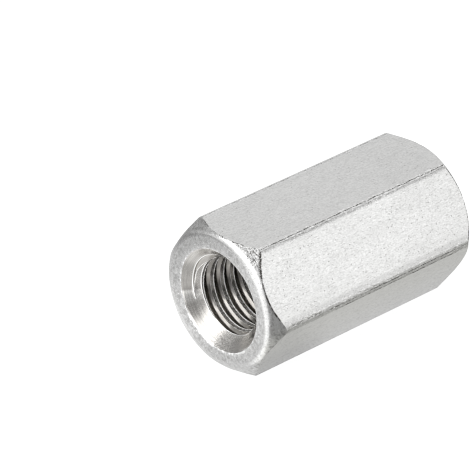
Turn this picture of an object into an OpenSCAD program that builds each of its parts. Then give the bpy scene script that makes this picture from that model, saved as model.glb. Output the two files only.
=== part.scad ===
// Hexagon coupling nut, M12 x 1.75, lying on one of its flats.
// The thread axis runs along Y and +Z is up. The origin is the middle of the flat it rests on.
// Millimetres.

/* [Hexagon bar] */
// Distance across two opposite flats
across_flats = 19; // [18:0.1:24]
// Overall length, end face to end face
nut_length = 36; // [24:0.5:60]
// Radius drawn on the six long corners of the bar
corner_r = 0.7; // [0.3:0.05:1.2]

/* [Turned ends] */
// Diameter at which the end chamfer would meet the end face if the edge were sharp
chamfer_d = 18.5; // [17.2:0.1:18.8]
// Angle of the end chamfer, measured from the end face
chamfer_angle = 48; // [30:1:55]
// Radius blended between the end face and the chamfer
blend_r = 1.2; // [0.3:0.1:1.4]

/* [Thread] */
// Nominal diameter of the thread
thread_d = 12; // [8:0.5:12]
// Pitch of the thread
thread_pitch = 1.75; // [1.25:0.25:2]
// Diameter of the countersink at each end face
countersink_d = 14.2; // [13:0.1:15]
// Included angle of the countersinks
countersink_angle = 90; // [80:5:120]

/* [Hidden] */
// The plain bore stands at the crests of the 60 degree internal thread, five eighths of the sharp height in.
minor_d = thread_d - 2 * 5 / 8 * thread_pitch * cos(30);
countersink_depth = (countersink_d - minor_d) / 2 / tan(countersink_angle / 2);
// Clearance by which a cutting shape runs past the face it cuts
over = 1;
// Height by which each corner arc stands past the flats, so that arc and flat cross and do not just touch
arc_proud = 0.002;
// Radius of the turned envelope, clear of the hexagon's corners
envelope_r = across_flats / 2 / cos(30) + 1;

// Section of the drawn bar: a hexagon with true arcs at its corners.
module bar_section() {
    reach = (across_flats / 2 - corner_r) / cos(30);
    polygon([for (k = [0:5], s = [-30, 30])
        [reach * cos(60 * k) + corner_r * cos(60 * k + s),
         reach * sin(60 * k) + corner_r * sin(60 * k + s)]]);
    for (k = [0:5])
        translate([reach * cos(60 * k), reach * sin(60 * k)])
            rotate(60 * k + 180) circle(r = corner_r + arc_proud, $fn = 48);
}

// Half profile of the turned envelope: end faces, blends and chamfers.
module turned_profile() {
    h = nut_length / 2;
    t = blend_r * tan(chamfer_angle / 2);
    face_r = chamfer_d / 2 - t;
    cone_r = chamfer_d / 2 + t * cos(chamfer_angle);
    cone_z = h - t * sin(chamfer_angle);
    rim_z = h - (envelope_r - chamfer_d / 2) * tan(chamfer_angle);
    polygon([[0, -h], [face_r, -h], [cone_r, -cone_z], [envelope_r, -rim_z],
             [envelope_r, rim_z], [cone_r, cone_z], [face_r, h], [0, h]]);
    for (s = [-1, 1])
        translate([face_r, s * (h - blend_r)])
            circle(r = blend_r, $fn = 64);
}

// Countersink of one end, opening towards +Z from its bottom at the bore.
module countersink() {
    slope = tan(countersink_angle / 2);
    translate([0, 0, nut_length / 2 - countersink_depth])
        cylinder(h = countersink_depth + over, r1 = minor_d / 2,
                 r2 = countersink_d / 2 + over * slope, $fn = 96);
}

module coupling_nut() {
    color("silver")
    translate([0, 0, across_flats / 2])
    rotate([90, 0, 0])
    difference() {
        intersection() {
            linear_extrude(height = nut_length + 2 * over, center = true)
                bar_section();
            rotate_extrude($fn = 96)
                turned_profile();
        }
        cylinder(h = nut_length + 2 * over, d = minor_d, center = true, $fn = 96);
        countersink();
        mirror([0, 0, 1]) countersink();
    }
}

coupling_nut();
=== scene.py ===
# Hexagon coupling nut, M12 x 1.75, lying on one of its flats on a pale studio floor.
import math

import bmesh
import bpy
import numpy as np
from mathutils import Matrix, Vector


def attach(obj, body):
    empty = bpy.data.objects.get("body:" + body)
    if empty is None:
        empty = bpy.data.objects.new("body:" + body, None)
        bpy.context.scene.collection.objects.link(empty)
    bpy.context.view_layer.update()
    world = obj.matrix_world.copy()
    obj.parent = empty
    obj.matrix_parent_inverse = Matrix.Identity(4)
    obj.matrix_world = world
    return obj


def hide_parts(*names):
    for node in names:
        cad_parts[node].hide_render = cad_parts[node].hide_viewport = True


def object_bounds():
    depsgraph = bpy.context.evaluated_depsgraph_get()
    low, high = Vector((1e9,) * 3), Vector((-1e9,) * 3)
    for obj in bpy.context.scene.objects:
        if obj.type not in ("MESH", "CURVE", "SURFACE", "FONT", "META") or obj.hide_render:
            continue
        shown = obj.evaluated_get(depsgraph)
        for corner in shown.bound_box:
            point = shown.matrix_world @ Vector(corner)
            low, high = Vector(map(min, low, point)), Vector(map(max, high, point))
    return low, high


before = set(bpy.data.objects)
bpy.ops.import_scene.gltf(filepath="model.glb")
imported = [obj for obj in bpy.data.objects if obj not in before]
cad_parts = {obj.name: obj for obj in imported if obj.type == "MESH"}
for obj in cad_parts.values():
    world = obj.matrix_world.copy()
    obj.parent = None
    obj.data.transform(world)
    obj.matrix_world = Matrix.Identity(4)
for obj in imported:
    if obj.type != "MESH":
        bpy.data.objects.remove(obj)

cad_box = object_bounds()
scene = bpy.context.scene

# ---------------------------------------------------------------- sizes, in millimetres
APOTHEM = 9.5  # half the width across flats
HALF = 18.0  # half the length
CHAMFER_R = 9.26  # where the end chamfer would meet the end face if the edge were sharp
SLOPE = math.tan(math.radians(48))  # chamfer, measured from the end face
BLEND = 1.5  # radius between end face and chamfer
RUN = BLEND * math.tan(math.radians(24))
FACE_R = CHAMFER_R - RUN
CONE_R = CHAMFER_R + RUN * math.cos(math.radians(48))
MOUTH_R = 7.1  # countersink at the end face, 90 degrees included
PITCH = 1.75
MAJOR_R = 6.0
BASIC_R = MAJOR_R - 5 / 8 * PITCH * math.cos(math.radians(30))
MINOR_R = 5.21  # drilled a little over the basic minor radius
AXIS_Z = 9.5  # height of the thread axis
BODY_Y = 15.55  # the bar's own columns stop here, short of the chamfers
END_Y = 15.8  # the finer columns of the ends start here
COLLAR_R = 6.2  # last full circle of the countersink above the thread


# ---------------------------------------------------------------- seeded noise
def lattice(i, j, k, seed):
    h = (
        i.astype(np.int64).astype(np.uint64) * np.uint64(374761393)
        + j.astype(np.int64).astype(np.uint64) * np.uint64(668265263)
        + k.astype(np.int64).astype(np.uint64) * np.uint64(2246822519)
        + np.uint64(seed * 3266489917 + 12345)
    )
    h ^= h >> np.uint64(31)
    h *= np.uint64(0x9E3779B97F4A7C15)
    h ^= h >> np.uint64(29)
    h *= np.uint64(0xBF58476D1CE4E5B9)
    h ^= h >> np.uint64(32)
    return (h & np.uint64(0xFFFFFF)).astype(float) / float(0xFFFFFF) * 2 - 1


def noise(x, y=0.0, z=0.0, seed=1):
    """Smooth lattice noise between -1 and 1."""
    x, y, z = np.broadcast_arrays(*(np.asarray(v, float) for v in (x, y, z)))
    base = [np.floor(v) for v in (x, y, z)]
    t = [v - b for v, b in zip((x, y, z), base)]
    t = [v * v * v * (v * (v * 6 - 15) + 10) for v in t]
    total = np.zeros(x.shape)
    for a in (0, 1):
        for b in (0, 1):
            for c in (0, 1):
                w = (
                    (t[0] if a else 1 - t[0])
                    * (t[1] if b else 1 - t[1])
                    * (t[2] if c else 1 - t[2])
                )
                total += w * lattice(base[0] + a, base[1] + b, base[2] + c, seed)
    return total


def step(a, b, x):
    t = np.clip((np.asarray(x, float) - a) / (b - a), 0, 1)
    return t * t * (3 - 2 * t)


# ---------------------------------------------------------------- outline of the bar
# How far each long corner's rounding reaches on to the flat before it and the flat after it, at the near and the far end, and the share by which it is a facet rather than an arc
BEFORE = np.array([[0.57, 0.57], [0.59, 0.58], [0.36, 0.40], [0.46, 0.44], [0.40, 0.36], [0.34, 0.32]])
AFTER = np.array([[0.70, 0.70], [0.20, 0.18], [0.36, 0.40], [0.46, 0.46], [0.36, 0.34], [0.28, 0.28]])
FACET = np.array([0.22, 0.85, 0.45, 0.40, 0.50, 0.40])
# Fine drawing lines that run beside the corners: corner, place across it in shares of its half width plus millimetres, width, depth, darkness, seed, and where along the bar it is strong
LINES = [
    (1, 0.66, 0.00, 0.056, 0.040, 0.92, 11, -40, 40),
    (1, -0.18, 0.00, 0.062, 0.012, 0.48, 12, -40, 40),
    (1, -0.42, 0.00, 0.210, 0.000, 0.31, 24, -40, 40),
    (0, 0.45, 0.00, 0.100, 0.040, 0.50, 13, -40, -9),
    (0, 0.10, 0.00, 0.052, 0.040, 1.00, 14, -10, 17),
    (0, -0.80, 0.00, 0.066, 0.040, 1.00, 23, -7, 15),
    (2, -1.00, -0.03, 0.050, 0.030, 0.60, 15, -40, 40),
    (2, 1.00, 0.05, 0.050, 0.030, 0.70, 16, -40, 5),
    (3, 1.00, 0.02, 0.050, 0.040, 0.80, 17, -8, 40),
    (3, -1.00, -0.12, 0.045, 0.030, 0.60, 18, -40, 40),
    (4, 1.00, 0.03, 0.050, 0.035, 0.75, 19, -40, 40),
    (4, -0.90, 0.00, 0.050, 0.030, 0.60, 20, -2, 40),
    (5, -1.00, -0.02, 0.050, 0.035, 0.70, 21, -40, 40),
    (5, 1.00, 0.14, 0.045, 0.030, 0.60, 22, -40, 2),
]
# Thin bright dashes where the die has smeared the metal, painted near white as highlights: corner, place, width,
# strength, seed, from, to
DASHES = [
    (1, 1.00, 0.14, 0.075, 1.00, 211, -40, 40),
    (1, 0.30, 0.00, 0.075, 1.00, 212, -40, 40),
    (0, 0.70, 0.00, 0.080, 1.00, 213, -40, -4),
    (0, -0.26, 0.00, 0.070, 0.80, 214, -9, 15),
    (0, 0.45, 0.00, 0.060, 0.60, 215, -4, 14),
    (2, -1.00, -0.14, 0.050, 0.60, 216, -40, 40),
    (3, 1.00, 0.13, 0.055, 0.80, 217, -40, 40),
    (4, 1.00, 0.14, 0.050, 0.70, 218, -40, 40),
    (5, -1.00, -0.12, 0.050, 0.70, 219, -40, 40),
]
NEAR_CORNER = [0.045, 0.09, 0.14, 0.20, 0.27, 0.35, 0.46, 0.62, 0.85]
SHARP_R = APOTHEM / math.cos(math.radians(30))


def ray(deg):
    a = np.radians(deg)
    return np.cos(a), np.sin(a)


def outline(kind, k, p, y):
    """Points of lines along the bar. kind 0 is on a corner, 1 follows a corner, 2 is out on the flat, 3 leads up to the next corner.
    Gives x, z, direction of the outward normal in degrees, corner, distance from the middle of that corner, half width of that corner."""
    t = np.clip(y / (2 * HALF) + 0.5, 0, 1)

    def reach(c):
        slow = 1 + 0.07 * noise(y * 0.22 + 7.0 * c, seed=5) + 0.05 * noise(y * 0.9 + 3.0 * c, seed=6)
        lo = BEFORE[c, 0] + (BEFORE[c, 1] - BEFORE[c, 0]) * t
        hi = AFTER[c, 0] + (AFTER[c, 1] - AFTER[c, 0]) * t
        return lo * slow, hi * slow

    n = (k + 1) % 6
    lo, hi = reach(k)
    nlo, nhi = reach(n)
    half = 0.5 * np.sqrt(lo * lo + hi * hi + lo * hi)
    nhalf = 0.5 * np.sqrt(nlo * nlo + nhi * nhi + nlo * nhi)
    cx, cz = (SHARP_R * v for v in ray(60.0 * k))
    mx, mz = (SHARP_R * v for v in ray(60.0 * n))
    bx, bz = ray(60.0 * k + 240)  # from the corner along the flat before it
    ax, az = ray(60.0 * k + 120)  # from the corner along the flat after it
    w, f = (p + 1) / 2, FACET[k]
    ba = lo * ((1 - f) * (1 - w) ** 2 + f * (1 - w))
    aa = hi * ((1 - f) * w**2 + f * w)
    x0, z0 = cx + bx * ba + ax * aa, cz + bz * ba + az * aa
    x1, z1 = cx + ax * (hi + p), cz + az * (hi + p)
    x3, z3 = mx - ax * (nlo + p), mz - az * (nlo + p)
    d = NEAR_CORNER[-1]
    sx, sz = cx + ax * (hi + d), cz + az * (hi + d)
    ex, ez = mx - ax * (nlo + d), mz - az * (nlo + d)
    x2, z2 = sx + (ex - sx) * p, sz + (ez - sz) * p
    x = np.select([kind == 0, kind == 1, kind == 3], [x0, x1, x3], x2)
    z = np.select([kind == 0, kind == 1, kind == 3], [z0, z1, z3], z2)
    turn = np.where(kind == 0, 60.0 * k + 30 * p, 60.0 * k + 30) + 0 * y
    who = np.where(kind == 3, n, k) + 0 * y
    s = np.select([kind == 0, kind == 1, kind == 3], [(w * 2 - 1) * half, half + p, -(nhalf + p)], 9.0 + 0 * y)
    return x, z, turn, who, s, np.where(kind == 3, nhalf, half)


def place(kind, k, p, y):
    """The same with the drawing lines cut in: x, z, the darkness of the lines, the strength of the bright dashes and how near the corner is."""
    x, z, turn, who, s, half = outline(kind, k, p, y)
    deep, dark = np.zeros(x.shape), np.zeros(x.shape)
    for c, share, off, wide, depth, tone, seed, y0, y1 in LINES:
        mid = share * half + off + 0.030 * noise(y * 0.45, seed=seed) + 0.022 * noise(y * 2.6, seed=seed + 40)
        size = 0.66 + 0.34 * noise(y * 1.1, seed=seed + 80) + 0.30 * noise(y * 3.6, seed=seed + 120)
        size = np.clip(size, 0.55 if c == 1 else 0.36, 1.15) * (0.22 + 0.78 * step(y0 - 2, y0 + 2, y) * (1 - step(y1 - 3, y1 + 1, y)))
        g = np.where(who == c, np.exp(-(((s - mid) / wide) ** 2)), 0.0)
        deep += depth * size * g
        dark = np.maximum(dark, tone * np.clip(size * 1.1, 0, 1) * np.where(who == c, np.exp(-(((s - mid) / (wide * 1.2)) ** 2)), 0.0))
    shine = np.zeros(x.shape)
    for c, share, off, wide, tone, seed, y0, y1 in DASHES:
        mid = share * half + off + 0.035 * noise(y * 0.7, seed=seed) + 0.03 * noise(y * 3.1, seed=seed + 40)
        size = step(0.16, 0.44, 0.80 * noise(y * 1.9, seed=seed + 80) + 0.55 * noise(y * 5.2, seed=seed + 120))
        size = size * step(y0 - 2, y0 + 1, y) * (1 - step(y1 - 1, y1 + 2, y))
        g = np.where(who == c, np.exp(-(((s - mid) / wide) ** 2)), 0.0)
        shine = np.maximum(shine, tone * size * g)
    # The flats of drawn bar are a few microns hollow and wavy.
    deep += 0.022 * shine
    # Above the lower front corner the flat rolls over a little.
    roll = np.exp(-((np.clip(s - half, 0, None) / 0.75) ** 2)) * step(-1.0, -0.4, s / half)
    deep += np.where(who == 0, 0.030 * roll, 0.0)
    flat = step(0.05, 1.2, np.abs(s) - half)
    deep += flat * (0.008 + 0.007 * noise(x * 0.30, y * 0.11, z * 0.30, seed=31))
    nx, nz = ray(turn)
    rim = np.exp(-((np.clip(np.abs(s) - half, 0, None) / 0.10) ** 2))
    # Beside the lower front corner the flat is picked for some way up, most at the near end.
    side = np.where((who == 0) & (s > 0), np.exp(-((np.clip(s - half, 0, None) / 0.42) ** 2)), 0.0)
    rim = np.maximum(rim, side * (0.35 + 0.65 * step(2, -6, y)))
    return x - nx * deep, z - nz * deep, dark, shine, rim


def columns(shares):
    """Lines round the bar from the first corner on: kind, corner, place, and how densely each is cut along the bar."""
    rows = []
    for k in range(6):
        rows += [(0, k, q, 3) for q in np.linspace(-1, 1, 21 if k == 0 else 15 if k == 1 else 11)]
        rows += [(1, k, d, 3 if d < 0.6 else 2) for d in NEAR_CORNER]
        rows += [(2, k, f, 1) for f in np.linspace(0, 1, shares)[1:-1]]
        rows += [(3, k, d, 3 if d < 0.6 else 2) for d in reversed(NEAR_CORNER)]
    kind, k, p, level = (np.array(v) for v in zip(*rows))
    return kind[:, None], k[:, None], p[:, None].astype(float), level


# ---------------------------------------------------------------- mesh store
verts, dirt_and_root_fill, torn, polish, burr_highlight, corner, chart_out, chart_in = [], [], [], [], [], [], [], []
faces, face_mat, face_chart = [], [], []
DRAWN, TURNED, THREAD = 0, 1, 2


def add(x, y, z, out=(0.0, 0.0), inside=(0.0, 0.0), dark=0.0, rough=0.0, smooth=0.0, bright=0.0, edge=0.0):
    verts.append((float(x), float(y), float(z)))
    dirt_and_root_fill.append(float(dark))
    torn.append(float(rough))
    polish.append(float(smooth))
    burr_highlight.append(float(bright))
    corner.append(float(edge))
    chart_out.append(out)
    chart_in.append(inside)
    return len(verts) - 1


def tri(a, b, c, mat, chart):
    if a != b and b != c and a != c:
        faces.append((a, b, c))
        face_mat.append(mat)
        face_chart.append(chart)


def quad(a, b, c, d, mat, chart):
    tri(a, b, c, mat, chart)
    tri(a, c, d, mat, chart)


def gap2(a, b):
    p, q = verts[a], verts[b]
    return (p[0] - q[0]) ** 2 + (p[1] - q[1]) ** 2 + (p[2] - q[2]) ** 2


def zip_up(left, right, mat, chart):
    """Triangles between two lines of points, always across the shorter diagonal."""
    i = j = 0
    while i < len(left) - 1 or j < len(right) - 1:
        if j == len(right) - 1 or (
            i < len(left) - 1 and gap2(left[i + 1], right[j]) <= gap2(left[i], right[j + 1])
        ):
            tri(left[i], left[i + 1], right[j], mat, chart)
            i += 1
        else:
            tri(left[i], right[j + 1], right[j], mat, chart)
            j += 1


def zip_rings(a, b, mat, chart):
    zip_up(a + a[:1], b + b[:1], mat, chart)


SEAM = math.radians(-4.0)


def around(x, z):
    """Share of a full turn from the seam, from 0 to 1."""
    t = (math.atan2(z, x) - SEAM) / (2 * math.pi)
    return t - math.floor(t)


# ---------------------------------------------------------------- the bar between its ends
ROWS = {1: 46, 2: 92, 3: 140}
kind, k, p, level = columns(16)
body_lines = [None] * len(level)
for n, rows in ROWS.items():
    here = np.nonzero(level == n)[0]
    y = np.linspace(-BODY_Y, BODY_Y, rows)[None, :] + np.zeros((len(here), 1))
    x, z, dark, shine, rim = place(kind[here], k[here], p[here], y)
    for i, c in enumerate(here):
        u = around(x[i, 0], z[i, 0])
        body_lines[c] = [add(x[i, j], y[i, j], z[i, j], out=(u, y[i, j]), dark=dark[i, j], bright=shine[i, j], edge=rim[i, j]) for j in range(rows)]
for a, b in zip(body_lines, body_lines[1:] + body_lines[:1]):
    zip_up(a, b, DRAWN, 0)


# ---------------------------------------------------------------- turned ends
def turned_depth(r, ease):
    """Depth of the turned end below the end face, by radius: face, blend, chamfer. ease is how much shallower the chamfer runs out at the corners."""
    arc = BLEND - np.sqrt(np.clip(BLEND**2 - np.clip(r - FACE_R, 0, BLEND) ** 2, 0, None))
    return np.where(r < CONE_R, arc, (r - CHAMFER_R) * SLOPE - ease * step(CONE_R, 10.9, r))


def edge_dirt(deg, side):
    """Darkness and width of the line where chamfer and flat meet, by the direction in degrees. side is -1 at the near end."""
    a = np.radians(deg)
    base = 0.30 + 0.40 * noise(np.cos(a) * 9, np.sin(a) * 9, side * 3.0, seed=51)
    fine = 0.75 + 0.6 * noise(np.cos(a) * 52, np.sin(a) * 52, side * 3.0, seed=52)
    d = deg % 360
    width = 0.07 + 0 * d
    if side < 0:
        front = step(5, 9, d) * (1 - step(58, 61, d))
        base = base + front * (0.35 + 0.65 * step(38, 50, d))
        fine = fine + front * 0.5
        width = width + front * (0.05 + 0.12 * step(40, 54, d))
        base = base + 0.40 * step(61, 66, d) * (1 - step(112, 119, d))
    else:
        front = step(2, 6, d) * (1 - step(56, 60, d))
        base = base + 0.6 * front
        width = width + 0.03 * front
    return np.clip(base * np.clip(fine, 0, 1.2), 0, 1), width


def torn_at(deg, side):
    """Share of torn, crumbled turning, by the direction in degrees."""
    d = deg % 360
    if side < 0:
        return np.clip(
            step(46, 53, d) * (1 - step(72, 84, d)) + 0.35 * step(103, 111, d) * (1 - step(130, 140, d)), 0, 1
        )
    return np.clip(
        0.8 * step(166, 174, d) * (1 - step(188, 196, d)) + 0.5 * step(285, 293, d) * (1 - step(306, 312, d)), 0, 1
    )


SHARES = np.array([0.025, 0.055, 0.09, 0.14, 0.20, 0.265, 0.33, 0.40, 0.47, 0.54, 0.61, 0.68, 0.75, 0.82, 0.89, 0.95, 1.0])
# How far each end is turned off the middle of the bar, and the direction in degrees
OFF = {-1: (0.16, 165.0), 1: (0.05, 90.0)}
rims = {}
kind, k, p, level = columns(50)
for side in (-1, 1):
    yc = np.full(p.shape, END_Y)
    for _ in range(4):
        x, z = outline(kind, k, p, side * yc)[:2]
        ang = np.arctan2(z, x)
        off = OFF[side][0] * np.cos(ang - math.radians(OFF[side][1]))
        ease = 0.18 * (1 - np.exp(-((np.degrees(ang) / 28) ** 2))) * (side > 0)
        yc = HALF - turned_depth(np.hypot(x, z) - off, ease)
    deg = np.degrees(ang)
    ca, sa = np.cos(ang), np.sin(ang)
    rough = torn_at(deg, side)
    mark, width = edge_dirt(deg, side)
    # The edge wanders a little, more where the metal is torn.
    yc = yc - 0.02 + 0.018 * noise(ca * 16, sa * 16, side * 2.0, seed=61) + (0.014 + 0.05 * rough) * noise(
        ca * 58, sa * 58, side * 2.0, seed=62
    )
    tip = np.minimum(0.11, 0.4 * (yc - END_Y))
    ys = np.concatenate([0 * yc + END_Y, END_Y + (yc - END_Y - tip) * 0.5, yc - tip, yc - tip * 0.35, yc], 1)
    fx, fz, fdark, fshine, frim = place(kind, k, p, side * ys)
    fdark = np.maximum(fdark, mark * np.array([[0.0, 0.0, 0.12, 0.75, 1.0]]))
    r0 = np.hypot(fx[:, -1:], fz[:, -1:])
    r = r0 + (FACE_R + off - r0) * SHARES[None, :]
    depth = turned_depth(r - off, ease)
    lag = (HALF - yc) - turned_depth(r0 - off, ease)
    depth = depth + lag * np.exp(-((r0 - r) / 0.05) ** 2)
    cone = step(CONE_R - 0.25, CONE_R + 0.05, r - off) * np.clip((r0 - r) / 0.10, 0, 1)
    tear = noise(ca * r * 3.0, depth * 3.0, sa * r * 3.0, seed=71) + 0.6 * noise(ca * r * 7.0, depth * 7.0, sa * r * 7.0, seed=72)
    bump = rough * cone * (0.045 * tear - 0.045)
    bump = bump - 0.004 * cone * (1 + noise(ca * 22, sa * 22, r * 1.5 + side, seed=73))
    r = r + bump * math.sin(math.radians(48))
    depth = depth - bump * math.cos(math.radians(48))
    lip = mark * np.exp(-((r0 - r) / width) ** 2)
    smooth = step(CONE_R + 0.05, CONE_R - 0.25, r - off) * step(FACE_R - 0.1, FACE_R + 0.15, r - off)
    lines = []
    for i in range(len(level)):
        profile = [(fx[i, j], ys[i, j], fz[i, j], fdark[i, j], 0.0, 0.0, fshine[i, j], frim[i, j]) for j in range(5)]
        profile += [
            (r[i, j] * ca[i, 0], HALF - depth[i, j], r[i, j] * sa[i, 0], lip[i, j], rough[i, 0] * cone[i, j], smooth[i, j], 0.0, 0.0)
            for j in range(len(SHARES))
        ]
        profile.append((8.0 * ca[i, 0], HALF, 8.0 * sa[i, 0], 0.0, 0.0, 0.0, 0.0, 0.0))
        # Chart lengths, stretched so that every column ends on the same line.
        spans = np.cumsum([0.0] + [math.dist(a[:3], b[:3]) for a, b in zip(profile, profile[1:])])
        u = around(fx[i, 0], fz[i, 0])
        lines.append(
            [
                add(px, side * py, pz, out=(u, side * (END_Y + at / spans[-1] * 4.0)), dark=dk, rough=rg, smooth=sm, bright=br, edge=eg)
                for (px, py, pz, dk, rg, sm, br, eg), at in zip(profile, spans)
            ]
        )
    for a, b in zip(lines, lines[1:] + lines[:1]):
        for i in range(len(a) - 1):
            quad(a[i], a[i + 1], b[i + 1], b[i], DRAWN if i < 4 else TURNED, 0)
    zip_rings([l[-1] if side > 0 else l[0] for l in body_lines], [l[0] for l in lines], DRAWN, 0)
    rims[side] = [l[-1] for l in lines]

# ---------------------------------------------------------------- countersinks and end-face rims
TURNS = 220
angles = np.arange(TURNS) / TURNS * 2 * math.pi
collars = {}
for side in (-1, 1):
    ragged = 0.5 * noise(np.cos(angles) * 6, np.sin(angles) * 6, side * 5.0, seed=81) + 0.6 * noise(
        np.cos(angles) * 33, np.sin(angles) * 33, side * 5.0, seed=82
    )
    # The mouth has a broken edge that is raggedest at the bottom.
    low = step(-0.2, -0.8, np.sin(angles))
    brk = 0.075 + 0.020 * low + np.clip(ragged, -1, 1) * (0.020 + 0.055 * low)
    # Along the broken edge the metal is painted near white as a highlight, by this share.
    keen_edge_highlight = np.clip(0.55 + 0.15 * low + 0.9 * noise(np.cos(angles) * 25, np.sin(angles) * 25, side * 5.0, seed=83), 0, 1)
    none = np.zeros(TURNS)
    specs = [
        (np.full(TURNS, 7.55), none, none),
        (MOUTH_R + brk * 1.3, none, (0.35 + 0.40 * low) * keen_edge_highlight),
        (MOUTH_R + brk * 0.35, brk * 0.35, keen_edge_highlight),
        (MOUTH_R - brk * 1.0, brk * 1.0, none),
    ]
    specs += [(np.full(TURNS, r), np.full(TURNS, MOUTH_R - r), none) for r in (6.82, 6.62, 6.41, COLLAR_R)]
    rings, at_v, last = [], 0.0, None
    for n, (r, d, bright) in enumerate(specs):
        here = (float(np.mean(r)), float(np.mean(d)))
        if n >= 2:
            at_v += math.dist(here, last)
        last = here
        rings.append(
            [
                add(
                    r[i] * math.cos(angles[i]),
                    side * (HALF - d[i]),
                    r[i] * math.sin(angles[i]),
                    out=(around(math.cos(angles[i]), math.sin(angles[i])), side * (END_Y + 4.0 + 8.0 - r[i])),
                    inside=(i / TURNS, side * (30.0 - at_v)),
                    bright=bright[i],
                )
                for i in range(TURNS)
            ]
        )
    zip_rings(rims[side], rings[0], TURNED, 0)
    for n in range(len(rings) - 1):
        for i in range(TURNS):
            j = (i + 1) % TURNS
            quad(rings[n][i], rings[n + 1][i], rings[n + 1][j], rings[n][j], TURNED, 0 if n == 0 else 1)
    collars[side] = (rings[-1], 30.0 - at_v)

# ---------------------------------------------------------------- thread
# One pitch of the right-hand internal thread, from the middle of one crest to the next: offset, radius, share of the
# rougher root finish that is painted lighter as a fill, burr with its painted highlight, whether it is an edge that the
# tap leaves ragged
CREST = PITCH / 8 + (MINOR_R - BASIC_R) * math.tan(math.radians(30))
RISE = (MAJOR_R - MINOR_R) * math.tan(math.radians(30))
TURN_POINTS = [
    (-CREST + 0.030, MINOR_R, 0.0, 0.0, 1),
    (CREST - 0.120, MINOR_R, 0.0, 0.3, 1),
    (CREST - 0.036, MINOR_R - 0.082, 0.0, 1.0, 3),
    (CREST - 0.008, MINOR_R - 0.074, 0.0, 1.0, 3),
    (CREST + 0.020, MINOR_R + 0.050, 0.75, 0.0, 2),
    (CREST + RISE - 0.02, MAJOR_R - 0.020, 1.00, 0.0, 0),
    (PITCH - CREST - RISE + 0.02, MAJOR_R - 0.020, 0.60, 0.0, 0),
    (PITCH - CREST - RISE + 0.045, MAJOR_R - 0.30 * (MAJOR_R - MINOR_R), 0.25, 0.0, 0),
    (PITCH - CREST - RISE + 0.140, MAJOR_R - 0.46 * (MAJOR_R - MINOR_R), 0.02, 0.0, 0),
    (PITCH - CREST - 0.022, MINOR_R + 0.045, 0.0, 0.0, 2),
]
PHASE = 0.62
COLLAR_Y = HALF - (MOUTH_R - COLLAR_R)
turn_no = np.arange(-13, 14)[None, :, None]
lead = turn_no * PITCH - PITCH * angles[:, None, None] / (2 * math.pi)
offs, rads, root_fill_shares, burr_highlights, edges = (np.array(v)[None, None, :] for v in zip(*TURN_POINTS))
all_y = PHASE + lead + offs
wob = noise(lead * 11.0 + edges, np.cos(angles)[:, None, None] * 5.5, np.sin(angles)[:, None, None] * 5.5, seed=91)
wob = wob + 0.7 * noise(lead * 11.0 + 0 * edges, np.cos(angles)[:, None, None] * 17, np.sin(angles)[:, None, None] * 17, seed=92)
all_r = rads + np.select([edges == 2, edges == 1, edges == 3], [0.009, 0.006, 0.012], 0.0) * (np.clip(wob, -0.3, 1.4) + 0.3)
all_d = root_fill_shares + 0 * all_y
all_b = burr_highlights * np.clip(0.75 + 0.45 * wob, 0.2, 1)
thread_lines = []
for i in range(TURNS):
    ca, sa = math.cos(angles[i]), math.sin(angles[i])
    order = np.argsort(all_y[i].reshape(-1))
    ty, tr, td, tb = (v[i].reshape(-1)[order] for v in (all_y, all_r, all_d, all_b))
    keep = np.abs(ty) < COLLAR_Y + PITCH
    ty, tr, td, tb = ty[keep], tr[keep], td[keep], tb[keep]
    over = tr - (MOUTH_R - (HALF - np.abs(ty)))  # above zero where the thread is cut deeper than the countersink
    line = [(-COLLAR_Y, COLLAR_R, 0.0, 0.0)]
    for j in range(len(ty)):
        if j and (over[j] > 0) != (over[j - 1] > 0):
            t = over[j - 1] / (over[j - 1] - over[j])
            cy, cr = ty[j - 1] + (ty[j] - ty[j - 1]) * t, tr[j - 1] + (tr[j] - tr[j - 1]) * t
            edge = (cy, cr - 0.045, 0.0, 1.0)
            # A narrow raised edge painted bright as a highlight, with plain countersink on one side of it and plain
            # thread on the other
            way = -1 if over[j] > 0 else 1
            cone = (cy + way * 0.100, cr + (0.100 if way * cy > 0 else -0.100), 0.0, 0.22)
            span = math.hypot(ty[j] - cy, tr[j] - cr) if over[j] > 0 else math.hypot(ty[j - 1] - cy, tr[j - 1] - cr)
            m = j if over[j] > 0 else j - 1
            f = min(0.05 / max(span, 1e-6), 0.5)
            flank = (cy + (ty[m] - cy) * f, cr + (tr[m] - cr) * f, 0.1, 0.0)
            line += [cone, edge, flank] if over[j] > 0 else [flank, edge, cone]
        if over[j] > 0:
            line.append((ty[j], tr[j], td[j], tb[j]))
    line.append((COLLAR_Y, COLLAR_R, 0.0, 0.0))
    # Points out of order or closer than a few microns become one.
    clean = [line[0]]
    for q in line[1:-1]:
        if q[0] > clean[-1][0] + 0.004 and q[0] < line[-1][0] - 0.004:
            clean.append(q)
    clean.append(line[-1])
    spans = np.cumsum([0.0] + [math.dist(a[:2], b[:2]) for a, b in zip(clean, clean[1:])])
    top = collars[1][1]
    ids = [collars[-1][0][i]]
    for (y, r, dark, bright), at in list(zip(clean, spans))[1:-1]:
        ids.append(add(r * ca, y, r * sa, inside=(i / TURNS, -top + 2 * top * at / spans[-1]), dark=dark, bright=bright))
    ids.append(collars[1][0][i])
    thread_lines.append(ids)
first = len(faces)
for a, b in zip(thread_lines, thread_lines[1:] + thread_lines[:1]):
    zip_up(a, b, THREAD, 1)
# Faces that lie on a countersink are turned, not tapped.
off_cone = [abs(math.hypot(x, z) - (MOUTH_R - (HALF - abs(y)))) for x, y, z in verts]
for n in range(first, len(faces)):
    if max(off_cone[v] for v in faces[n]) < 0.008:
        face_mat[n] = TURNED

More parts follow.
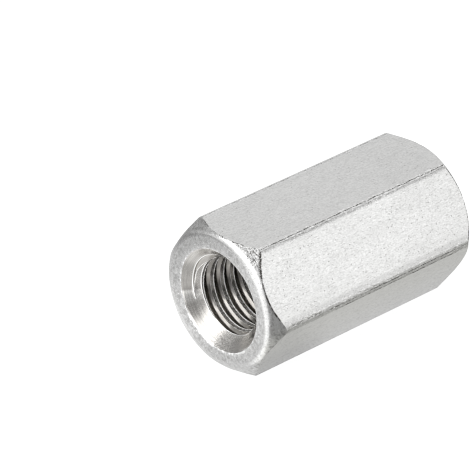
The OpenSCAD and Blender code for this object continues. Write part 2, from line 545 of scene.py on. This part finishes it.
# ---------------------------------------------------------------- the piece
points = np.array(verts)
points[:, 2] += AXIS_Z
points /= 1000
me = bpy.data.meshes.new("coupling_nut_steel")
me.from_pydata(points.tolist(), [], faces)
me.polygons.foreach_set("material_index", np.array(face_mat, np.int32))
for name, values in (("dirt_and_root_fill", dirt_and_root_fill), ("torn", torn), ("polish", polish), ("burr_highlight", burr_highlight), ("corner", corner)):
    layer = me.attributes.new(name, "FLOAT", "POINT")
    layer.data.foreach_set("value", np.array(values, np.float32))

# Chart for baked maps: the outside above, the bore beneath it on its side.
tris = np.array(faces)
out_uv, in_uv = np.array(chart_out), np.array(chart_in)
which = np.array(face_chart)[:, None, None]
local = np.where(which == 0, out_uv[tris], in_uv[tris])
share = local[:, :, 0]
wide = (share.max(1) - share.min(1)) > 0.5
share = np.where(wide[:, None] & (share < 0.5), share + 1, share)
along = local[:, :, 1]
flat_u = np.where(which[:, :, 0] == 0, share * 64.0 + 0.6, along + 30.0 + 1.0)
flat_v = np.where(which[:, :, 0] == 0, along + 21.5 + 36.5, share * 34.5 + 0.6)
uv = np.stack([flat_u / 66.5 * 0.99 + 0.004, flat_v / 80.0 * 0.99 + 0.004], -1)
layer = me.uv_layers.new(name="OFBake")
layer.data.foreach_set("uv", uv.reshape(-1).astype(np.float32))

bm = bmesh.new()
bm.from_mesh(me)
bmesh.ops.recalc_face_normals(bm, faces=bm.faces)
bm.to_mesh(me)
bm.free()
me.polygons.foreach_set("use_smooth", np.ones(len(me.polygons), bool))
me.set_sharp_from_angle(angle=math.radians(34))
me.update()
nut = bpy.data.objects.new("coupling_nut_steel", me)
scene.collection.objects.link(nut)


# ---------------------------------------------------------------- materials
class Net:
    """Short names for the shader nodes used below."""

    def __init__(self, tree):
        self.tree = tree
        tree.nodes.clear()

    def new(self, kind, **props):
        node = self.tree.nodes.new(kind)
        for key, value in props.items():
            setattr(node, key, value)
        return node

    def put(self, socket, value):
        if hasattr(value, "is_output"):
            self.tree.links.new(value, socket)
        else:
            socket.default_value = value

    def math(self, op, a, b=None, c=None, clamp=False):
        node = self.new("ShaderNodeMath", operation=op, use_clamp=clamp)
        for socket, value in zip(node.inputs, (a, b, c)):
            if value is not None:
                self.put(socket, value)
        return node.outputs[0]

    def vec(self, op, a, b=None):
        node = self.new("ShaderNodeVectorMath", operation=op)
        self.put(node.inputs[0], a)
        if b is not None:
            self.put(node.inputs[1], b)
        return node.outputs["Value" if op in ("DOT_PRODUCT", "LENGTH") else "Vector"]

    def split(self, v):
        node = self.new("ShaderNodeSeparateXYZ")
        self.put(node.inputs[0], v)
        return node.outputs

    def join(self, x, y, z):
        node = self.new("ShaderNodeCombineXYZ")
        for socket, value in zip(node.inputs, (x, y, z)):
            self.put(socket, value)
        return node.outputs[0]

    def noise(self, v, scale=1.0, detail=2.0, rough=0.5, twist=0.0):
        node = self.new("ShaderNodeTexNoise", noise_dimensions="3D")
        self.put(node.inputs["Vector"], v)
        node.inputs["Scale"].default_value = scale
        node.inputs["Detail"].default_value = detail
        node.inputs["Roughness"].default_value = rough
        node.inputs["Distortion"].default_value = twist
        return node.outputs[0]

    def cells(self, v, scale=1.0, feature="F1"):
        node = self.new("ShaderNodeTexVoronoi", voronoi_dimensions="3D", feature=feature)
        self.put(node.inputs["Vector"], v)
        node.inputs["Scale"].default_value = scale
        return node.outputs["Distance"], node.outputs["Color"]

    def span(self, x, a, b, lo=0.0, hi=1.0, smooth=True):
        node = self.new("ShaderNodeMapRange", interpolation_type="SMOOTHSTEP" if smooth else "LINEAR")
        self.put(node.inputs["Value"], x)
        for name, value in (("From Min", a), ("From Max", b), ("To Min", lo), ("To Max", hi)):
            self.put(node.inputs[name], value)
        return node.outputs["Result"]

    def mix(self, fac, a, b, kind="MIX"):
        node = self.new("ShaderNodeMix", data_type="RGBA", blend_type=kind)
        self.put(node.inputs[0], fac)
        self.put(node.inputs[6], a)
        self.put(node.inputs[7], b)
        return node.outputs[2]

    def attr(self, name):
        return self.new("ShaderNodeAttribute", attribute_name=name).outputs["Fac"]

    def bump(self, height, distance, strength=1.0, normal=None):
        node = self.new("ShaderNodeBump")
        node.inputs["Strength"].default_value = strength
        node.inputs["Distance"].default_value = distance
        self.put(node.inputs["Height"], height)
        if normal is not None:
            self.put(node.inputs["Normal"], normal)
        return node.outputs[0]


def metal(name):
    mat = bpy.data.materials.new(name)
    mat.use_nodes = True
    net = Net(mat.node_tree)
    shader = net.new("ShaderNodeBsdfPrincipled")
    shader.inputs["Metallic"].default_value = 1.0
    out = net.new("ShaderNodeOutputMaterial")
    net.tree.links.new(shader.outputs[0], out.inputs["Surface"])
    place_mm = net.vec("MULTIPLY", net.new("ShaderNodeTexCoord").outputs["Object"], (1000.0, 1000.0, 1000.0))
    return mat, net, shader, place_mm


def rgb(r, g=None, b=None):
    return (r, r if g is None else g, r if b is None else b, 1.0)


def drawn_steel():
    """Cold-drawn flats: fine tumbled grain, faint lines along the bar, small pits, scratches, dark lines beside the corners."""
    mat, net, shader, mm = metal("steel_drawn")
    patches = net.noise(net.vec("MULTIPLY", mm, (0.34, 0.13, 0.34)), 1.0, 3.0, 0.55)
    clouds = net.noise(net.vec("MULTIPLY", mm, (1.10, 0.42, 1.10)), 1.0, 2.0, 0.55)
    grain = net.noise(net.vec("MULTIPLY", mm, (5.2, 3.6, 5.2)), 1.0, 3.0, 0.62, 0.4)
    lines = net.noise(net.vec("MULTIPLY", mm, (7.5, 0.16, 7.5)), 1.0, 2.0, 0.5)
    streaks = net.noise(net.vec("MULTIPLY", mm, (3.4, 0.30, 3.4)), 1.0, 2.0, 0.5)
    near, pick = net.cells(net.vec("MULTIPLY", mm, (2.6, 2.0, 2.6)))
    chosen = net.span(net.math("ADD", net.split(pick)[0], net.span(clouds, 0.35, 0.70, -0.10, 0.16)), 0.72, 0.78)
    pits = net.math("MULTIPLY", net.span(near, 0.26, 0.10), chosen)
    # Sparse scratches, a few tenths wide and a few millimetres long, askew to the bar
    skew = net.join(
        net.vec("DOT_PRODUCT", mm, (2.6, 1.1, 2.6)),
        net.vec("DOT_PRODUCT", mm, (-0.16, 0.30, 0.14)),
        net.vec("DOT_PRODUCT", mm, (2.2, -0.2, -2.2)),
    )
    scratch = net.span(net.noise(skew, 1.0, 1.0, 0.4), 0.70, 0.76)
    fleck = net.noise(net.vec("MULTIPLY", mm, (5.6, 3.4, 5.6)), 1.0, 2.0, 0.6)
    speck = net.noise(net.vec("MULTIPLY", mm, (7.5, 2.0, 7.5)), 1.0, 1.0, 0.5, 0.6)
    ragged = net.span(net.noise(net.vec("MULTIPLY", mm, (6.0, 5.0, 6.0)), 1.0, 2.0, 0.6), 0.34, 0.56, 0.35, 1.25)
    dark = net.math("MULTIPLY", net.attr("dirt_and_root_fill"), ragged, clamp=True)
    tone = net.mix(net.span(patches, 0.3, 0.7), rgb(0.655, 0.656, 0.650), rgb(0.70, 0.70, 0.692))
    tone = net.mix(net.span(clouds, 0.30, 0.70, 0.0, 0.55), tone, rgb(0.615, 0.615, 0.61))
    tone = net.mix(net.span(fleck, 0.34, 0.66), tone, rgb(0.765, 0.765, 0.758))
    # The flat on top is the smoothest.
    calm = net.span(net.split(mm)[2], 18.2, 18.6, 1.0, 0.55)
    tone = net.mix(net.math("MULTIPLY", calm, net.span(speck, 0.44, 0.28, 0.0, 0.75)), tone, rgb(0.47, 0.468, 0.46))
    tone = net.mix(net.math("MULTIPLY", calm, net.span(speck, 0.60, 0.72, 0.0, 0.70)), tone, rgb(0.85, 0.85, 0.845))
    tone = net.mix(net.span(net.split(mm)[1], 0.0, 16.0, 0.0, 0.06), tone, rgb(0.30, 0.30, 0.297))
    tone = net.mix(net.span(streaks, 0.52, 0.72, 0.0, 0.30), tone, rgb(0.57, 0.57, 0.565))
    # Just above the lower front corner, where the flat rolls over, it is painted darker: painted shade.
    roll_shade = net.math("MULTIPLY", net.span(net.split(mm)[2], 9.90, 10.20), net.span(net.split(mm)[2], 10.90, 10.40))
    tone = net.mix(net.math("MULTIPLY", roll_shade, net.span(net.split(mm)[0], 9.0, 9.8, 0.0, 0.28)), tone, rgb(0.30, 0.298, 0.293))
    tone = net.mix(net.math("MULTIPLY", scratch, 0.35), tone, rgb(0.80, 0.80, 0.795))
    tone = net.mix(net.math("MULTIPLY", pits, 0.60), tone, rgb(0.30, 0.295, 0.285))
    tone = net.mix(net.span(dark, 0.12, 0.75), tone, rgb(0.085, 0.08, 0.075))
    # Round the corners the metal is smeared and picked: light and dark flecks.
    round_corner = net.attr("corner")
    picked = net.noise(net.vec("MULTIPLY", mm, (6.4, 4.2, 6.4)), 1.0, 2.0, 0.62, 0.4)
    tone = net.mix(net.math("MULTIPLY", round_corner, net.span(picked, 0.43, 0.31, 0.0, 0.60)), tone, rgb(0.27, 0.265, 0.26))
    tone = net.mix(net.math("MULTIPLY", round_corner, net.span(picked, 0.55, 0.66, 0.0, 0.80)), tone, rgb(0.97, 0.97, 0.965))
    # The smeared dashes are painted near white as highlights.
    smear_highlight = net.math("MULTIPLY", net.attr("burr_highlight"), ragged, clamp=True)
    tone = net.mix(net.span(smear_highlight, 0.12, 0.55), tone, rgb(0.99, 0.99, 0.985))
    net.put(shader.inputs["Base Color"], tone)
    rough = net.math("ADD", net.span(grain, 0.25, 0.75, 0.29, 0.39), net.span(patches, 0.3, 0.7, -0.02, 0.03))
    rough = net.math("ADD", rough, net.math("MULTIPLY", smear_highlight, 0.2))
    rough = net.math("ADD", rough, net.math("MULTIPLY", dark, 0.2), clamp=True)
    net.put(shader.inputs["Roughness"], rough)
    height = net.math("ADD", net.math("MULTIPLY", grain, 1.0), net.math("MULTIPLY", lines, 0.55))
    height = net.math("ADD", height, net.math("MULTIPLY", streaks, 0.9))
    height = net.math("SUBTRACT", height, net.math("MULTIPLY", pits, 0.9))
    height = net.math("SUBTRACT", height, net.math("MULTIPLY", scratch, 0.4))
    height = net.math("ADD", height, net.math("MULTIPLY", net.math("MULTIPLY", picked, round_corner), 1.4))
    net.put(shader.inputs["Normal"], net.bump(height, 0.0000125))
    return mat


def polar(net, mm):
    x, y, z = net.split(mm)[:3]
    z = net.math("SUBTRACT", z, AXIS_Z)
    r = net.vec("LENGTH", net.join(x, z, 0.0))
    return x, y, z, r


def turned_steel():
    """Faced, chamfered and countersunk ends: turning rings, scuffs on the faces, smooth blends, torn patches."""
    mat, net, shader, mm = metal("steel_turned")
    x, y, z, r = polar(net, mm)
    cx, cz = net.math("DIVIDE", x, r), net.math("DIVIDE", z, r)
    rings = net.noise(net.join(net.math("MULTIPLY", r, 9.0), net.math("MULTIPLY", cx, 0.8), net.math("MULTIPLY", cz, 0.8)), 1.0, 3.0, 0.6)
    arcs = net.noise(net.join(net.math("MULTIPLY", r, 5.0), net.math("MULTIPLY", cx, 2.6), net.math("MULTIPLY", cz, 2.6)), 1.0, 2.0, 0.55)
    grain = net.noise(net.vec("MULTIPLY", mm, (5.0, 5.0, 5.0)), 1.0, 3.0, 0.62, 0.3)
    patches = net.noise(net.vec("MULTIPLY", mm, (0.5, 0.5, 0.5)), 1.0, 3.0, 0.55)
    scuffs = net.noise(net.vec("MULTIPLY", mm, (2.2, 2.2, 2.2)), 1.0, 3.0, 0.62, 0.5)
    near, pick = net.cells(net.vec("MULTIPLY", mm, (2.4, 2.4, 2.4)))
    chosen = net.span(net.split(pick)[0], 0.50, 0.58)
    nicks = net.math("MULTIPLY", net.span(near, 0.26, 0.10), chosen)
    inside = net.span(r, 7.0, 7.12, 1.0, 0.0)  # the countersinks
    torn_share = net.attr("torn")
    smooth = net.attr("polish")
    face = net.math("SUBTRACT", 1.0, net.math("MAXIMUM", net.math("MULTIPLY", smooth, 0.55), inside))
    # Tears run slantwise over the chamfer.
    tears = net.noise(
        net.join(
            net.vec("DOT_PRODUCT", mm, (2.6, 0.5, 2.6)),
            net.vec("DOT_PRODUCT", mm, (0.9, -1.2, -0.9)),
            net.vec("DOT_PRODUCT", mm, (0.4, 4.2, 0.4)),
        ),
        1.0, 4.0, 0.68, 0.5,
    )
    ragged = net.span(net.noise(net.vec("MULTIPLY", mm, (6.5, 6.5, 6.5)), 1.0, 2.0, 0.6), 0.34, 0.56, 0.3, 1.25)
    dark = net.math("MULTIPLY", net.attr("dirt_and_root_fill"), ragged, clamp=True)
    tone = net.mix(net.span(patches, 0.3, 0.7), rgb(0.64, 0.64, 0.635), rgb(0.69, 0.69, 0.685))
    tone = net.mix(net.span(arcs, 0.35, 0.7), tone, rgb(0.715, 0.715, 0.71))
    tone = net.mix(net.math("MULTIPLY", net.span(r, 8.75, 8.35), 0.42), tone, rgb(0.50, 0.50, 0.497))
    tone = net.mix(net.math("MULTIPLY", net.span(scuffs, 0.49, 0.64, 0.0, 0.75), face), tone, rgb(0.40, 0.396, 0.39))
    tone = net.mix(net.math("MULTIPLY", net.span(scuffs, 0.46, 0.32, 0.0, 0.75), face), tone, rgb(0.80, 0.80, 0.795))
    sparks = net.noise(net.vec("MULTIPLY", mm, (4.6, 4.6, 4.6)), 1.0, 2.0, 0.6, 0.5)
    tone = net.mix(net.math("MULTIPLY", net.span(sparks, 0.62, 0.70, 0.0, 0.8), face), tone, rgb(0.97, 0.97, 0.965))
    tone = net.mix(net.math("MULTIPLY", net.span(sparks, 0.42, 0.32, 0.0, 0.6), face), tone, rgb(0.38, 0.377, 0.37))
    sink = net.mix(net.span(rings, 0.32, 0.68), rgb(0.54, 0.525, 0.503), rgb(0.67, 0.653, 0.625))
    # The countersink of the near end is painted darker on its left, by the direction about the axis: painted shade.
    painted_left_shade = net.math("MULTIPLY", net.span(cx, -0.86, -0.97), net.span(y, 0.0, -1.0))
    painted_left_shade = net.math("MULTIPLY", painted_left_shade, net.span(cz, -0.36, -0.24))
    sink = net.mix(net.math("MULTIPLY", painted_left_shade, 0.85), sink, net.mix(net.span(cz, -0.05, 0.05), net.mix(net.span(arcs, 0.3, 0.7), rgb(0.25, 0.242, 0.23), rgb(0.32, 0.31, 0.295)), net.mix(net.span(arcs, 0.3, 0.7), rgb(0.34, 0.33, 0.313), rgb(0.42, 0.408, 0.388))))
    # Its lowest part is chattered.
    low = net.math("MULTIPLY", net.span(cz, -0.86, -0.97), net.span(cx, -0.30, 0.0))
    sink = net.mix(net.math("MULTIPLY", low, net.span(sparks, 0.50, 0.62, 0.0, 0.75)), sink, rgb(0.36, 0.35, 0.34))
    sink = net.mix(net.math("MULTIPLY", low, net.span(sparks, 0.46, 0.36, 0.0, 0.70)), sink, rgb(0.86, 0.85, 0.83))
    # Its upper part is painted light: a painted highlight.
    sink = net.mix(net.span(cz, 0.84, 0.98, 0.0, 0.9), sink, net.mix(net.span(rings, 0.32, 0.68), rgb(0.88, 0.865, 0.83), rgb(0.97, 0.955, 0.925)))
    glint = net.math("MULTIPLY", net.math("MULTIPLY", net.span(cz, -0.22, -0.29), net.span(cz, -0.53, -0.44)), net.span(cx, -0.3, -0.6))
    sink = net.mix(net.math("MULTIPLY", glint, net.span(y, 0.0, -1.0, 0.0, 0.85)), sink, net.mix(net.span(rings, 0.32, 0.68), rgb(0.80, 0.785, 0.76), rgb(0.95, 0.935, 0.91)))
    tone = net.mix(inside, tone, sink)
    tone = net.mix(net.math("MULTIPLY", net.math("MULTIPLY", nicks, 0.45), net.math("SUBTRACT", 1.0, inside)), tone, rgb(0.34, 0.335, 0.33))
    tone = net.mix(net.math("MULTIPLY", torn_share, 0.5), tone, rgb(0.46, 0.46, 0.455))
    tone = net.mix(net.math("MULTIPLY", torn_share, net.span(tears, 0.51, 0.36, 0.0, 0.95)), tone, rgb(0.13, 0.125, 0.12))
    tone = net.mix(net.math("MULTIPLY", torn_share, net.span(tears, 0.56, 0.68, 0.0, 0.7)), tone, rgb(0.86, 0.86, 0.855))
    tone = net.mix(net.span(dark, 0.12, 0.75), tone, rgb(0.085, 0.08, 0.075))
    # Burrs at the mouths and where the thread runs out are painted near white as highlights.
    keen_edge_highlight = net.math("MULTIPLY", net.attr("burr_highlight"), ragged, clamp=True)
    tone = net.mix(net.span(keen_edge_highlight, 0.15, 0.8), tone, rgb(0.95, 0.95, 0.945))
    net.put(shader.inputs["Base Color"], tone)
    rough = net.math("ADD", net.span(grain, 0.25, 0.75, 0.31, 0.41), net.math("MULTIPLY", inside, -0.13))
    rough = net.math("ADD", rough, net.math("MULTIPLY", smooth, -0.13))
    rough = net.math("ADD", rough, net.math("MULTIPLY", keen_edge_highlight, 0.25))
    rough = net.math("ADD", rough, net.math("MULTIPLY", dark, 0.2), clamp=True)
    net.put(shader.inputs["Roughness"], rough)
    height = net.math("MULTIPLY", grain, net.math("ADD", net.math("MULTIPLY", face, 2.2), 0.15))
    height = net.math("ADD", height, net.math("MULTIPLY", rings, net.math("ADD", net.math("MULTIPLY", inside, 0.55), 0.25)))
    height = net.math("SUBTRACT", height, net.math("MULTIPLY", nicks, net.math("MULTIPLY", face, 1.2)))
    height = net.math("ADD", height, net.math("MULTIPLY", scuffs, net.math("MULTIPLY", face, 1.6)))
    height = net.math("ADD", height, net.math("MULTIPLY", net.math("MULTIPLY", torn_share, tears), 8.0))
    net.put(shader.inputs["Normal"], net.bump(height, 0.0000075))
    return mat


def thread_steel():
    """Tapped thread: smooth flanks with fine lines along the helix, rougher roots painted lighter as a painted fill."""
    mat, net, shader, mm = metal("steel_thread")
    x, y, z, r = polar(net, mm)
    cx, cz = net.math("DIVIDE", x, r), net.math("DIVIDE", z, r)
    lines = net.noise(net.join(net.math("MULTIPLY", r, 11.0), net.math("MULTIPLY", cx, 1.4), net.math("MULTIPLY", cz, 1.4)), 1.0, 3.0, 0.6)
    patches = net.noise(net.vec("MULTIPLY", mm, (0.7, 0.7, 0.7)), 1.0, 3.0, 0.6)
    grain = net.noise(net.vec("MULTIPLY", mm, (6.0, 6.0, 6.0)), 1.0, 2.0, 0.6)
    chatter = net.noise(net.vec("MULTIPLY", mm, (3.6, 4.4, 3.6)), 1.0, 3.0, 0.68, 0.4)
    # Roots: rougher, and painted lighter as a painted fill against the shade in them.
    root = net.math("MULTIPLY", net.span(net.attr("dirt_and_root_fill"), 0.35, 1.0), net.span(patches, 0.25, 0.65, 0.55, 1.0))
    crest = net.span(r, MINOR_R + 0.050, MINOR_R + 0.020)  # drilled, not tapped
    keen_edge_highlight = net.attr("burr_highlight")
    tone = net.mix(net.span(lines, 0.35, 0.68), rgb(0.40, 0.382, 0.36), rgb(0.52, 0.502, 0.475))
    tone = net.mix(net.span(patches, 0.42, 0.66, 0.0, 0.35), tone, rgb(0.31, 0.285, 0.25))
    tone = net.mix(net.math("MULTIPLY", root, 0.95), tone, rgb(0.80, 0.765, 0.72))
    # The first turn, where the thread runs out into the countersink, is painted lighter: a painted highlight.
    tone = net.mix(net.span(net.math("ABSOLUTE", y), 15.7, 16.3, 0.0, 0.70), tone, rgb(0.56, 0.545, 0.52))
    tone = net.mix(crest, tone, net.mix(net.span(chatter, 0.36, 0.64), rgb(0.30, 0.292, 0.28), rgb(0.92, 0.91, 0.89)))
    # Painted shade on the upper left of the bore, and below it a band of painted shade on the flanks and painted
    # highlights on the crests
    tone = net.mix(net.math("MULTIPLY", net.math("MULTIPLY", net.span(cz, -0.70, -0.46), net.span(cx, -0.4, -0.7)), net.span(net.math("ABSOLUTE", y), 16.2, 15.6, 0.0, 0.62)), tone, rgb(0.20, 0.19, 0.175))
    band = net.math("MULTIPLY", net.math("MULTIPLY", net.span(cz, 0.04, -0.14), net.span(cz, -0.46, -0.32)), net.span(cx, -0.6, -0.85))
    band = net.math("MULTIPLY", band, net.span(net.math("ABSOLUTE", y), 16.2, 15.6))
    tone = net.mix(net.math("MULTIPLY", band, net.math("SUBTRACT", 0.45, net.math("MULTIPLY", crest, 0.45))), tone, rgb(0.07, 0.066, 0.06))
    tone = net.mix(net.math("MULTIPLY", band, net.math("MULTIPLY", crest, 0.80)), tone, net.mix(net.span(chatter, 0.36, 0.64), rgb(0.80, 0.785, 0.76), rgb(0.98, 0.97, 0.95)))
    # Burrs on the crests and where the thread runs out are painted near white as highlights.
    tone = net.mix(net.span(keen_edge_highlight, 0.1, 0.7), tone, rgb(0.96, 0.955, 0.945))
    net.put(shader.inputs["Base Color"], tone)
    rough = net.math("ADD", net.span(grain, 0.25, 0.75, 0.14, 0.21), net.math("MULTIPLY", net.attr("dirt_and_root_fill"), 0.30))
    rough = net.math("ADD", rough, net.math("MULTIPLY", crest, 0.48))
    rough = net.math("ADD", rough, net.math("MULTIPLY", keen_edge_highlight, 0.10), clamp=True)
    net.put(shader.inputs["Roughness"], rough)
    height = net.math("ADD", net.math("MULTIPLY", lines, 0.6), net.math("MULTIPLY", grain, 0.3))
    height = net.math("ADD", height, net.math("MULTIPLY", net.math("MULTIPLY", chatter, crest), 4.0))
    net.put(shader.inputs["Normal"], net.bump(height, 0.0000055))
    return mat


for mat in (drawn_steel(), turned_steel(), thread_steel()):
    me.materials.append(mat)

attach(nut, "root")
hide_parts("coupling_nut")

# ---------------------------------------------------------------- floor
floor_mesh = bpy.data.meshes.new("floor")
bm = bmesh.new()
bmesh.ops.create_circle(bm, cap_ends=True, segments=128, radius=3.0)
bm.to_mesh(floor_mesh)
bm.free()
floor = bpy.data.objects.new("floor", floor_mesh)
floor.location.z = cad_box[0].z
scene.collection.objects.link(floor)

mat = bpy.data.materials.new("floor_white")
mat.use_nodes = True
net = Net(mat.node_tree)
mm = net.vec("MULTIPLY", net.new("ShaderNodeTexCoord").outputs["Object"], (1000.0, 1000.0, 1000.0))
fx, fy, fz = net.split(mm)[:3]
paper = net.noise(mm, 0.15, 3.0, 0.6)
seen = net.new("ShaderNodeBsdfDiffuse")
net.put(seen.inputs["Color"], net.mix(net.span(paper, 0.3, 0.7), rgb(0.22), rgb(0.23)))
glow = net.new("ShaderNodeEmission")
glow.inputs["Strength"].default_value = 0.90
both = net.new("ShaderNodeAddShader")
net.tree.links.new(seen.outputs[0], both.inputs[0])
net.tree.links.new(glow.outputs[0], both.inputs[1])
# What the metal sees of the floor is a painted pool of light: bright beneath the front, duller to both sides, brightest
# in front of the near end.
pool = 0.99
for term in (
    net.span(fx, -13.0, -24.0, 0.0, 0.33),
    net.math("MULTIPLY", net.span(fx, -13.0, -20.0), net.span(fy, -30.0, -36.0, 0.0, 0.14)),
    net.span(fx, -28.0, -45.0, 0.0, 0.20),
    net.span(fx, -10.0, -1.0, 0.0, 0.12),
    net.math("MULTIPLY", net.span(fx, -10.0, -1.0, -0.12, 0.0), net.span(fy, -31.0, -26.0)),
    net.math("MULTIPLY", net.span(fx, 25.0, 33.0), net.span(fy, -34.0, -44.0, 0.0, 0.36)),
    net.span(fx, 3.0, 7.0, 0.0, 0.15),
    net.math("MULTIPLY", net.span(fx, 10.5, 17.5), net.span(fy, -36.0, -46.0, 0.27, 0.05)),
    net.math("MULTIPLY", net.math("MULTIPLY", net.span(fx, 13.0, 19.0), net.span(fy, -12.0, -18.0, 0.0, 0.18)), net.span(fy, -46.0, -36.0)),
    net.math("MULTIPLY", net.span(fx, 3.0, 7.0), net.math("MULTIPLY", net.span(fy, -3.0, -10.0, 0.0, 0.07), net.span(fy, -17.0, -15.0))),
    net.math("MULTIPLY", net.math("MULTIPLY", net.span(fx, 0.0, 3.0), net.span(fx, 8.8, 6.9)), net.math("MULTIPLY", net.span(fy, -1.0, -9.0, 0.0, 0.10), net.span(fy, -17.0, -15.0))),
):
    pool = net.math("SUBTRACT", pool, term)
left = net.math("ADD", fx, net.math("MULTIPLY", net.math("MAXIMUM", net.math("SUBTRACT", -28.0, fy), 0.0), 1.0))
right = net.math("ADD", fx, net.math("MULTIPLY", net.math("ADD", fy, 20.0), 0.35))
front = net.math("MULTIPLY", net.math("MULTIPLY", net.span(left, 3.5, 6.5), net.span(right, 11.0, 7.0)), net.span(fy, -18.5, -20.0))
pool = net.math("ADD", pool, net.math("MULTIPLY", front, 0.68))
pool = net.math("ADD", pool, net.math("MULTIPLY", net.span(fx, -40.0, -70.0), net.span(fy, -60.0, -90.0, 0.0, 0.35)))
bounce = net.new("ShaderNodeEmission")
net.put(bounce.inputs["Strength"], pool)
net.put(bounce.inputs["Color"], net.mix(net.math("MULTIPLY", net.span(fx, 5.0, 11.0), net.span(fy, -30.0, -22.0)), rgb(1.0), rgb(1.0, 0.998, 0.958)))
path = net.new("ShaderNodeLightPath")
pick = net.new("ShaderNodeMixShader")
net.tree.links.new(path.outputs["Is Camera Ray"], pick.inputs[0])
net.tree.links.new(bounce.outputs[0], pick.inputs[1])
net.tree.links.new(both.outputs[0], pick.inputs[2])
out = net.new("ShaderNodeOutputMaterial")
net.tree.links.new(pick.outputs[0], out.inputs["Surface"])
floor_mesh.materials.append(mat)

# ---------------------------------------------------------------- studio light
world = bpy.data.worlds.new("studio")
scene.world = world
world.use_nodes = True
net = Net(world.node_tree)
way = net.new("ShaderNodeTexCoord").outputs["Generated"]
wx, wy, wz = net.split(way)[:3]
height = net.math("ARCSINE", wz)


def panel(az, el, half_az, half_el, soft):
    """Share of a soft rectangular light panel, by direction in degrees."""
    a = math.radians(az)
    ahead = net.vec("DOT_PRODUCT", way, (math.cos(a), math.sin(a), 0.0))
    beside = net.vec("DOT_PRODUCT", way, (-math.sin(a), math.cos(a), 0.0))
    turn = net.math("ABSOLUTE", net.math("ARCTAN2", beside, ahead))
    lift = net.math("ABSOLUTE", net.math("SUBTRACT", height, math.radians(el)))
    s = math.radians(soft)
    across = net.span(turn, math.radians(half_az) + s, math.radians(half_az) - s)
    up = net.span(lift, math.radians(half_el) + s, math.radians(half_el) - s)
    return net.math("MULTIPLY", across, up)


light = 0.62
for az, el, half_az, half_el, soft, gain in (
    (142, 30, 40, 34, 14, 0.49),  # back left, over the top flat
    (37, 14, 30, 13, 5, 1.22),  # back right, low
    (55, 42, 25, 12, 8, 0.42),  # back right, above it
    (184, 4, 20, 16, 8, -0.30),  # dull on the left
    (-52, 18, 17, 24, 6, -0.20),  # dull round the camera
    (-101, 31, 28, 28, 5, 1.9),  # front, above
    (-101, 15, 23, 10, 5, 2.2),  # its brighter lower half
    (-155, 28, 18, 22, 8, 0.10),  # front left
):
    light = net.math("ADD", light, net.math("MULTIPLY", panel(az, el, half_az, half_el, soft), gain))
back = net.new("ShaderNodeBackground")
net.put(back.inputs["Strength"], net.math("MAXIMUM", light, 0.05))
out = net.new("ShaderNodeOutputWorld")
net.tree.links.new(back.outputs[0], out.inputs["Surface"])

# ---------------------------------------------------------------- camera
WIDE = 0.019  # width across flats, the unit of the camera fit
az, el, roll = (math.radians(v) for v in (46.17164, 31.38433, 1.94606))
away, fit = math.exp(3.38334), 146.9466
off_x, off_y = 0.58234, -0.12253
back_v = Vector((math.sin(az) * math.cos(el), -math.cos(az) * math.cos(el), math.sin(el)))
right = Vector((math.cos(az), math.sin(az), 0.0))
up = back_v.cross(right)
right, up = math.cos(roll) * right + math.sin(roll) * up, -math.sin(roll) * right + math.cos(roll) * up
cam_data = bpy.data.cameras.new("camera")
cam = bpy.data.objects.new("camera", cam_data)
scene.collection.objects.link(cam)
spot = Vector((0, 0, AXIS_Z / 1000)) + WIDE * (away * back_v - off_x * right - off_y * up)
turn = Matrix((right, up, back_v)).transposed().to_4x4()
cam.matrix_world = Matrix.Translation(spot) @ turn
cam_data.sensor_width = 36.0
cam_data.lens = fit * away / 470 * 36.0
cam_data.clip_start, cam_data.clip_end = 0.01, 20.0
scene.camera = cam

scene.view_settings.view_transform = "Standard"
scene.view_settings.look = "None"
scene.cycles.use_denoising = True
scene.cycles.filter_width = 1.1
